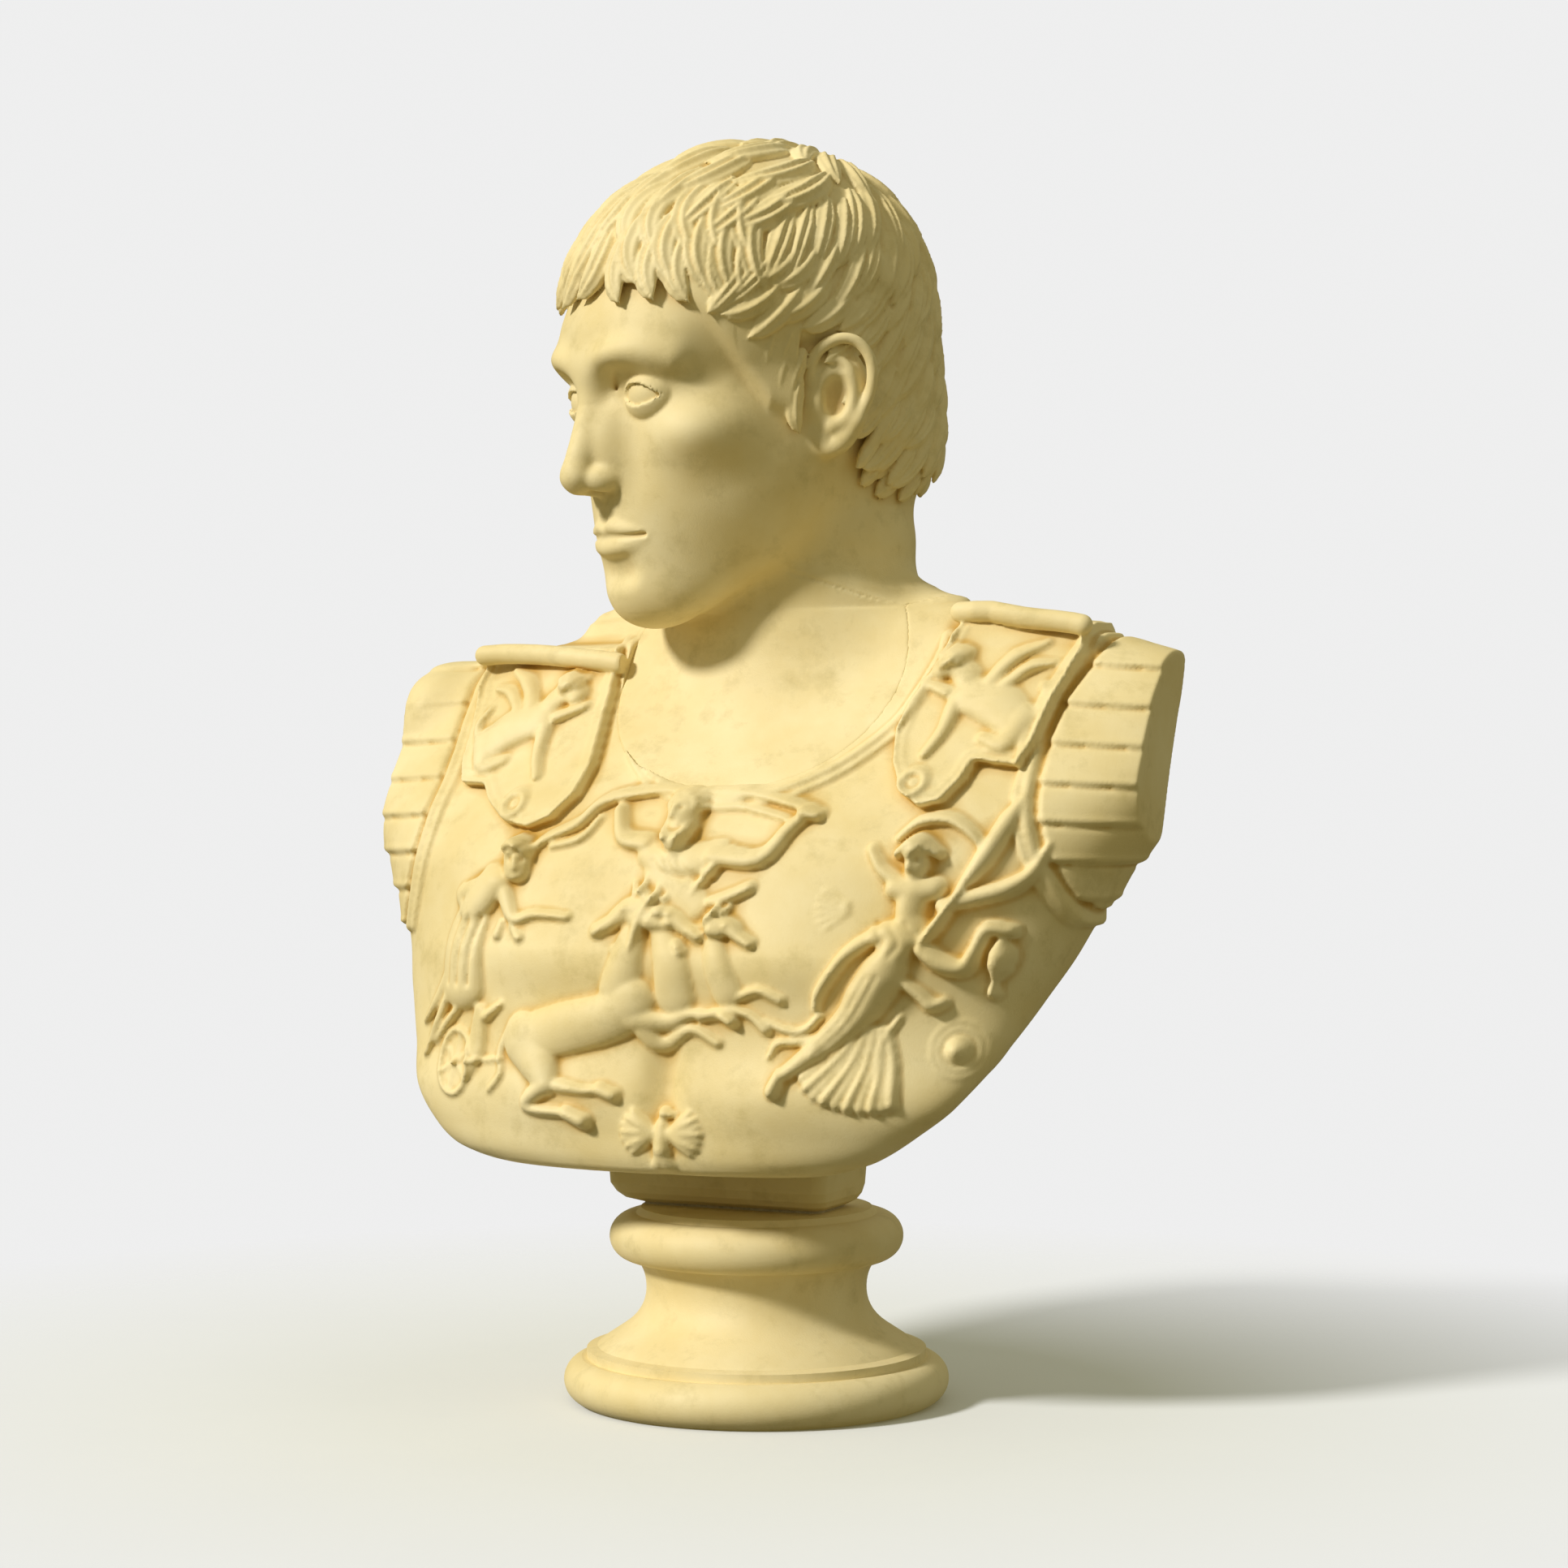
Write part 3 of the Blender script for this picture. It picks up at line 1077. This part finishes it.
def comb_path(scalp, root, length, flow, bend, steps=9):
    """Points that run over the scalp from a root along a flow, turning by bend degrees by the tip."""
    p = scalp.stick(HEAD.out([root]), 2.5)
    path = [p[0]]
    for i in range(steps - 1):
        n = scalp.normal(p)[0]
        local = HEAD.matrix.T @ (p[0] - HEAD.origin)
        along = HEAD.matrix @ flow(local)
        along = along - n * (along @ n)
        along /= max(np.linalg.norm(along), 1e-6)
        turn = math.radians(bend) * ((i + 1) / (steps - 1)) ** 1.6
        along = along * math.cos(turn) + np.cross(n, along) * math.sin(turn)
        p = scalp.stick(p + along * length / (steps - 1), 2.5)
        path.append(p[0])
    return np.array(path)


def around(angle, rise, radius=96.0):
    """A point about the skull: angle in degrees from the face towards the figure's left, and rise."""
    a, e = math.radians(angle), math.radians(rise)
    flat = radius * math.cos(e)
    return np.array([flat * math.sin(a), 12 - flat * math.cos(a), 150 + radius * math.sin(e)])


def away_from_whorl(forward=0.0, down=0.0, aside=0.0):
    """A flow away from the whorl, pulled forward, down and towards the figure's left."""
    def flow(p):
        along = (p - WHORL) / np.linalg.norm(p - WHORL)
        return along + np.array([aside, -forward, -down])
    return flow


def hair(clay, scalp):
    """Short comma-shaped locks in overlapping rows, combed forward from the crown."""
    dice = np.random.default_rng(11)

    def wobble(amount):
        return dice.uniform(-amount, amount)

    # each row: rise, first angle, last angle, spacing, length, half width, height, forward pull, bend
    rows = [
        (-48, 124, 236, 9, 22, 6.0, 4.6, 1.1, 25),
        (-40, 114, 246, 9, 34, 6.0, 4.4, 1.0, 25),
        (-27, 112, 248, 9, 36, 6.5, 4.8, 0.9, 20),
        (-13, 110, 250, 9, 38, 6.5, 5.0, 0.8, 20),
        (2, 106, 254, 10, 40, 7.0, 5.2, 0.6, 20),
        (16, 68, 292, 10, 42, 7.0, 5.4, 0.5, 25),
        (31, 60, 300, 10, 44, 7.5, 5.8, 0.25, 22),
        (46, 58, 302, 11, 48, 8.0, 6.4, 0.0, 18),
    ]
    for rise, first, last, spacing, length, width, height, pull, bend in rows:
        count = int(round((last - first) / spacing))
        for i in range(count + 1):
            angle = first + (last - first) * i / count + wobble(2)
            side = 1 if angle < 180 else -1
            flow = away_from_whorl(pull, 0.25)
            root = around(angle, rise + wobble(3))
            path = comb_path(scalp, root, length + wobble(6), flow, -side * (bend + wobble(16)))
            strands = 2 + int(dice.integers(2))
            width_here = width + wobble(1)
            tip_lift, lift = (-0.8, 3.2) if rise < -45 else (1.8, LOCK_LIFT)
            lock(clay, scalp, path, width_here, height, tip_lift, wobble(0.25), strands, lift)
    sideburns(clay, scalp)
    fringe(clay, scalp, wobble)
    crown(clay, scalp, wobble)


def sideburns(clay, scalp):
    """Overlapping hooked locks from the temples down to the front of the ears."""
    # each row: rise, then the angles of its locks
    rows = [
        (34, (54, 63, 72)),
        (24, (58, 67, 75)),
        (14, (63, 71)),
        (4, (67, 74)),
        (-6, (70, 76)),
        (-15, (73,)),
    ]
    for side in (-1, 1):
        for rise, angles in rows:
            for i, angle in enumerate(angles):
                flow = away_from_whorl(0.5, 0.9)
                path = comb_path(scalp, around(side * angle, rise), 30, flow, side * (46 - 30 * i))
                lock(clay, scalp, path, 5.6, 4.4, -0.6, 0, 2, 3.4)


FORK = 9.0          # the angle of the parting in the fringe


def fringe(clay, scalp, wobble):
    """Two rows of pointed locks over the brow, parted by a fork just left of the middle."""
    # each row: rise, spacing, shift in spacings, length, half width, height, lift of the tips
    rows = [
        (36, 10.5, 0.0, 46, 8.5, 6.4, 0.0),
        (44, 10.5, 0.5, 52, 9.5, 7.4, 1.0),
        (56, 12, 0.0, 54, 9.5, 7.4, 2.0),
    ]
    for rise, step, shift, length, width, height, lift in rows:
        for side, count in ((1, 5), (-1, 6)):
            for i in range(count):
                angle = FORK + side * (5.0 + step * (i + shift)) + wobble(1.2)
                flow = away_from_whorl(0, 0.9, -side * 0.45)
                long = length + wobble(3)
                bend = side * (62 + wobble(8))
                path = comb_path(scalp, around(angle, rise), long, flow, bend, 11)
                lock(clay, scalp, path, width, height, lift, side * 0.3, 3)


def crown(clay, scalp, wobble):
    """Long locks that sweep forward over the top, and a ring of locks that swing round the whorl."""
    for back, count, length, bend in ((-22, 7, 50, 20), (4, 7, 56, 34), (28, 6, 58, 46)):
        for i in range(count):
            across = (i - (count - 1) / 2) * 17 + wobble(2)
            root = (4 + across, back + 0.004 * across**2, 230)
            flow = away_from_whorl(0.9, 0, 0.010 * across + 0.35)
            path = comb_path(scalp, root, length + wobble(4), flow, -bend + wobble(8), 11)
            lock(clay, scalp, path, 9.5, 7.4, 3.2, wobble(0.2), 3)
    for i in range(12):
        turn = math.radians(30 * i + 12)
        root = WHORL + np.array([13 * math.sin(turn), -13 * math.cos(turn), 0])
        flow = away_from_whorl(0.1 if abs(i - 6) < 3 else 0.4)
        path = comb_path(scalp, root, 46 + wobble(4), flow, 44 + wobble(8), 11)
        lock(clay, scalp, path, 8.5, 6.4, 3.0, wobble(0.2), 3)


def neck(clay):
    """The neck, and the oval of bare chest that its foot grows into."""
    torso = same_grid(clay, np.full(clay.count, EMPTY, np.float32))
    index, axes = torso.window((-150, -150, 330), (132, 165, 530))
    torso.add(index, ovals(axes, CHEST, SHOULDER_TILT))
    torso.even()
    torso.d -= BIB_RISE
    cut_behind(torso)
    shoulders(torso)
    clay.d = smooth_min(clay.d, torso.d, 12)


def head_clay(step):
    """The head, neck and the oval of bare chest below it."""
    clay = Clay((-150, -150, 330), (132, 165, 738), step)
    skull(clay)
    neck(clay)
    scalp = same_grid(clay, clay.d.copy())
    hair_cap(clay)
    face(clay)
    hair(clay, scalp)
    trim_bib(clay)
    return clay


def trim_bib(clay):
    """Ends the stone at the socket's wall and floor."""
    index, axes = clay.window((-150, -150, 330), (132, 165, 480))
    clay.cut(index, -neck_region(axes, BED + HEAD_OVERLAP), 0.3)


# ------------------------------------------------------------------ materials


def node(tree, kind, **values):
    made = tree.nodes.new(kind)
    for key, value in values.items():
        setattr(made, key, value)
    return made


def noise(tree, scale, detail=4.0, rough=0.6):
    made = node(tree, "ShaderNodeTexNoise")
    made.inputs["Scale"].default_value = scale
    made.inputs["Detail"].default_value = detail
    made.inputs["Roughness"].default_value = rough
    place = node(tree, "ShaderNodeTexCoord")
    tree.links.new(place.outputs["Object"], made.inputs["Vector"])
    return made.outputs["Fac"]


def ramp(tree, source, low, high, first=(0, 0, 0), last=(1, 1, 1)):
    made = node(tree, "ShaderNodeValToRGB")
    made.color_ramp.elements[0].position = low
    made.color_ramp.elements[0].color = (*first, 1)
    made.color_ramp.elements[1].position = high
    made.color_ramp.elements[1].color = (*last, 1)
    tree.links.new(source, made.inputs["Fac"])
    return made.outputs["Color"]


def blend(tree, amount, base, layer, mode="MIX"):
    made = node(tree, "ShaderNodeMix", data_type="RGBA", blend_type=mode)
    colours = [s for s in made.inputs if s.type == "RGBA"]
    for socket, value in ((made.inputs["Factor"], amount), (colours[0], base), (colours[1], layer)):
        if hasattr(value, "links"):
            tree.links.new(value, socket)
        elif isinstance(value, tuple):
            socket.default_value = (*value, 1)
        else:
            socket.default_value = value
    return [s for s in made.outputs if s.type == "RGBA"][0]


CREAM = (0.79, 0.65, 0.33)
PALE = (0.88, 0.765, 0.47)
OCHRE = (0.56, 0.33, 0.05)
DUST = (0.46, 0.37, 0.13)


def marble(name, folds=True):
    """Warm weathered marble: mottled cream, ochre wash in its folds, fine grain and pits."""
    material = bpy.data.materials.new(name)
    material.use_nodes = True
    tree = material.node_tree
    shader = tree.nodes["Principled BSDF"]
    shader.inputs["Roughness"].default_value = 0.58
    shader.inputs["Specular IOR Level"].default_value = 0.35
    mottle = ramp(tree, noise(tree, 14, 5), 0.35, 0.68)
    colour = blend(tree, mottle, CREAM, PALE)
    dust = ramp(tree, noise(tree, 45, 6, 0.7), 0.52, 0.80, (0, 0, 0), (0.5, 0.5, 0.5))
    colour = blend(tree, dust, colour, DUST)
    if folds:
        for key, low, high, most in (("hollow", 0.10, 0.45, 0.70), ("fold", 0.08, 0.45, 0.75)):
            mark = node(tree, "ShaderNodeAttribute", attribute_name=key).outputs["Fac"]
            wash = ramp(tree, mark, low, high, (0, 0, 0), (most, most, most))
            colour = blend(tree, wash, colour, OCHRE)
    tree.links.new(colour, shader.inputs["Base Color"])
    bump = node(tree, "ShaderNodeBump")
    bump.inputs["Strength"].default_value = 0.25
    bump.inputs["Distance"].default_value = 0.0006
    tree.links.new(noise(tree, 900, 5, 0.7), bump.inputs["Height"])
    tree.links.new(bump.outputs["Normal"], shader.inputs["Normal"])
    return material


def mortar(name):
    material = bpy.data.materials.new(name)
    material.use_nodes = True
    tree = material.node_tree
    shader = tree.nodes["Principled BSDF"]
    shader.inputs["Roughness"].default_value = 0.9
    colour = ramp(tree, noise(tree, 220, 6, 0.7), 0.3, 0.75, (0.42, 0.34, 0.20), (0.66, 0.57, 0.38))
    tree.links.new(colour, shader.inputs["Base Color"])
    bump = node(tree, "ShaderNodeBump")
    bump.inputs["Distance"].default_value = 0.0008
    tree.links.new(noise(tree, 700), bump.inputs["Height"])
    tree.links.new(bump.outputs["Normal"], shader.inputs["Normal"])
    return material


def steel(name):
    material = bpy.data.materials.new(name)
    material.use_nodes = True
    tree = material.node_tree
    shader = tree.nodes["Principled BSDF"]
    shader.inputs["Metallic"].default_value = 1.0
    shader.inputs["Roughness"].default_value = 0.35
    colour = ramp(tree, noise(tree, 300, 3), 0.3, 0.7, (0.42, 0.42, 0.43), (0.60, 0.60, 0.61))
    tree.links.new(colour, shader.inputs["Base Color"])
    return material


def dress(thing, material):
    thing.data.materials.clear()
    thing.data.materials.append(material)


# ------------------------------------------------------------------ camera, floor and light

VIEW_AZIMUTH = math.radians(25)
RIGHT = Vector((math.cos(VIEW_AZIMUTH), math.sin(VIEW_AZIMUTH), 0))
TOWARDS = Vector((math.sin(VIEW_AZIMUTH), -math.cos(VIEW_AZIMUTH), 0))
UP = Vector((0, 0, 1))
LENS, CAMERA_AWAY, CAMERA_HEIGHT, AIM_HEIGHT, CAMERA_ASIDE = 88.55, 2.2, 0.40, 0.3515, 0.0157
KEY_AT = RIGHT * -2.2 + TOWARDS * 1.4 + UP * 2.2


def point_at(thing, target):
    thing.rotation_euler = (target - thing.location).to_track_quat("-Z", "Y").to_euler()


def add_camera():
    """A long lens at chest height, looking at the figure's left front."""
    data = bpy.data.cameras.new("camera")
    data.lens = LENS
    data.sensor_width = 36.0
    camera = bpy.data.objects.new("camera", data)
    aside = RIGHT * CAMERA_ASIDE
    camera.location = TOWARDS * CAMERA_AWAY + UP * CAMERA_HEIGHT + aside
    point_at(camera, UP * AIM_HEIGHT + aside)
    bpy.context.scene.collection.objects.link(camera)
    bpy.context.scene.camera = camera


def add_floor():
    """A wide pale floor that fades into the backdrop."""
    size = 3.0
    corners = [(-size, -size, 0), (size, -size, 0), (size, size, 0), (-size, size, 0)]
    mesh = bpy.data.meshes.new("floor")
    mesh.from_pydata(corners, [], [(0, 1, 2, 3)])
    floor = bpy.data.objects.new("floor", mesh)
    bpy.context.scene.collection.objects.link(floor)
    floor.visible_diffuse = False
    material = bpy.data.materials.new("pale_floor")
    material.use_nodes = True
    tree = material.node_tree
    shader = tree.nodes["Principled BSDF"]
    shader.inputs["Roughness"].default_value = 0.95
    shader.inputs["Specular IOR Level"].default_value = 0.0
    tone = ramp(tree, noise(tree, 6), 0.2, 0.8, (0.85, 0.885, 0.96), (0.87, 0.905, 0.98))
    tree.links.new(tone, shader.inputs["Base Color"])
    place = node(tree, "ShaderNodeTexCoord")
    far = node(tree, "ShaderNodeVectorMath", operation="LENGTH")
    tree.links.new(place.outputs["Object"], far.inputs[0])
    fade = ramp(tree, far.outputs["Value"], 0.22, 0.75, (1, 1, 1), (0, 0, 0))
    tree.links.new(fade, shader.inputs["Alpha"])
    dress(floor, material)


BACKDROP = 0.86          # what the camera sees behind the bust
SKY, GROUND = (0.40, 0.385, 0.26), (0.15, 0.13, 0.05)


def studio_world():
    """A plain pale backdrop; the light that it gives is softer, and dimmer from below."""
    world = bpy.data.worlds.new("studio")
    world.use_nodes = True
    tree = world.node_tree
    output = tree.nodes["World Output"]
    backdrop = tree.nodes["Background"]
    backdrop.inputs["Color"].default_value = (BACKDROP, BACKDROP, BACKDROP, 1)
    glow = node(tree, "ShaderNodeBackground")
    place = node(tree, "ShaderNodeTexCoord")
    split = node(tree, "ShaderNodeSeparateXYZ")
    tree.links.new(place.outputs["Generated"], split.inputs[0])
    shift = node(tree, "ShaderNodeMath", operation="MULTIPLY_ADD")
    tree.links.new(split.outputs["Z"], shift.inputs[0])
    shift.inputs[1].default_value = 0.5
    shift.inputs[2].default_value = 0.5
    tree.links.new(ramp(tree, shift.outputs[0], 0.35, 0.65, GROUND, SKY), glow.inputs["Color"])
    pick = node(tree, "ShaderNodeMixShader")
    tree.links.new(node(tree, "ShaderNodeLightPath").outputs["Is Camera Ray"], pick.inputs[0])
    tree.links.new(glow.outputs[0], pick.inputs[1])
    tree.links.new(backdrop.outputs[0], pick.inputs[2])
    tree.links.new(pick.outputs[0], output.inputs["Surface"])
    bpy.context.scene.world = world


def add_light():
    """A broad sun-like key high on the viewer's left, with soft light all round."""
    data = bpy.data.lights.new("key", "SUN")
    data.energy = 3.0
    data.angle = math.radians(9)
    data.color = (1.0, 0.955, 0.86)
    key = bpy.data.objects.new("key", data)
    key.location = KEY_AT
    point_at(key, UP * 0.40)
    bpy.context.scene.collection.objects.link(key)
    studio_world()
    bpy.context.scene.view_settings.view_transform = "Standard"


# ------------------------------------------------------------------ the bust

add_camera()
add_floor()
add_light()
stone = marble("marble")
plain_stone = marble("turned_marble", folds=False)
lime = mortar("lime_mortar")
metal = steel("stainless_steel")

CHEST_STEP = 1.25
HEAD_STEP = 1.1
chest = carve_out("carved_chest", chest_clay(CHEST_STEP))
head = carve_out("carved_head", head_clay(HEAD_STEP))
for piece, replaced in ((chest, "chest"), (head, "head_and_neck")):
    dress(piece, stone)
    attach(piece, "root")
    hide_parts(replaced)

for name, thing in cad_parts.items():
    if name in ("chest", "head_and_neck"):
        continue
    if "bed" in name or name == "pocket_plug":
        dress(thing, lime)
    elif name in ("socle", "support_block"):
        dress(thing, plain_stone)
    else:
        dress(thing, metal)
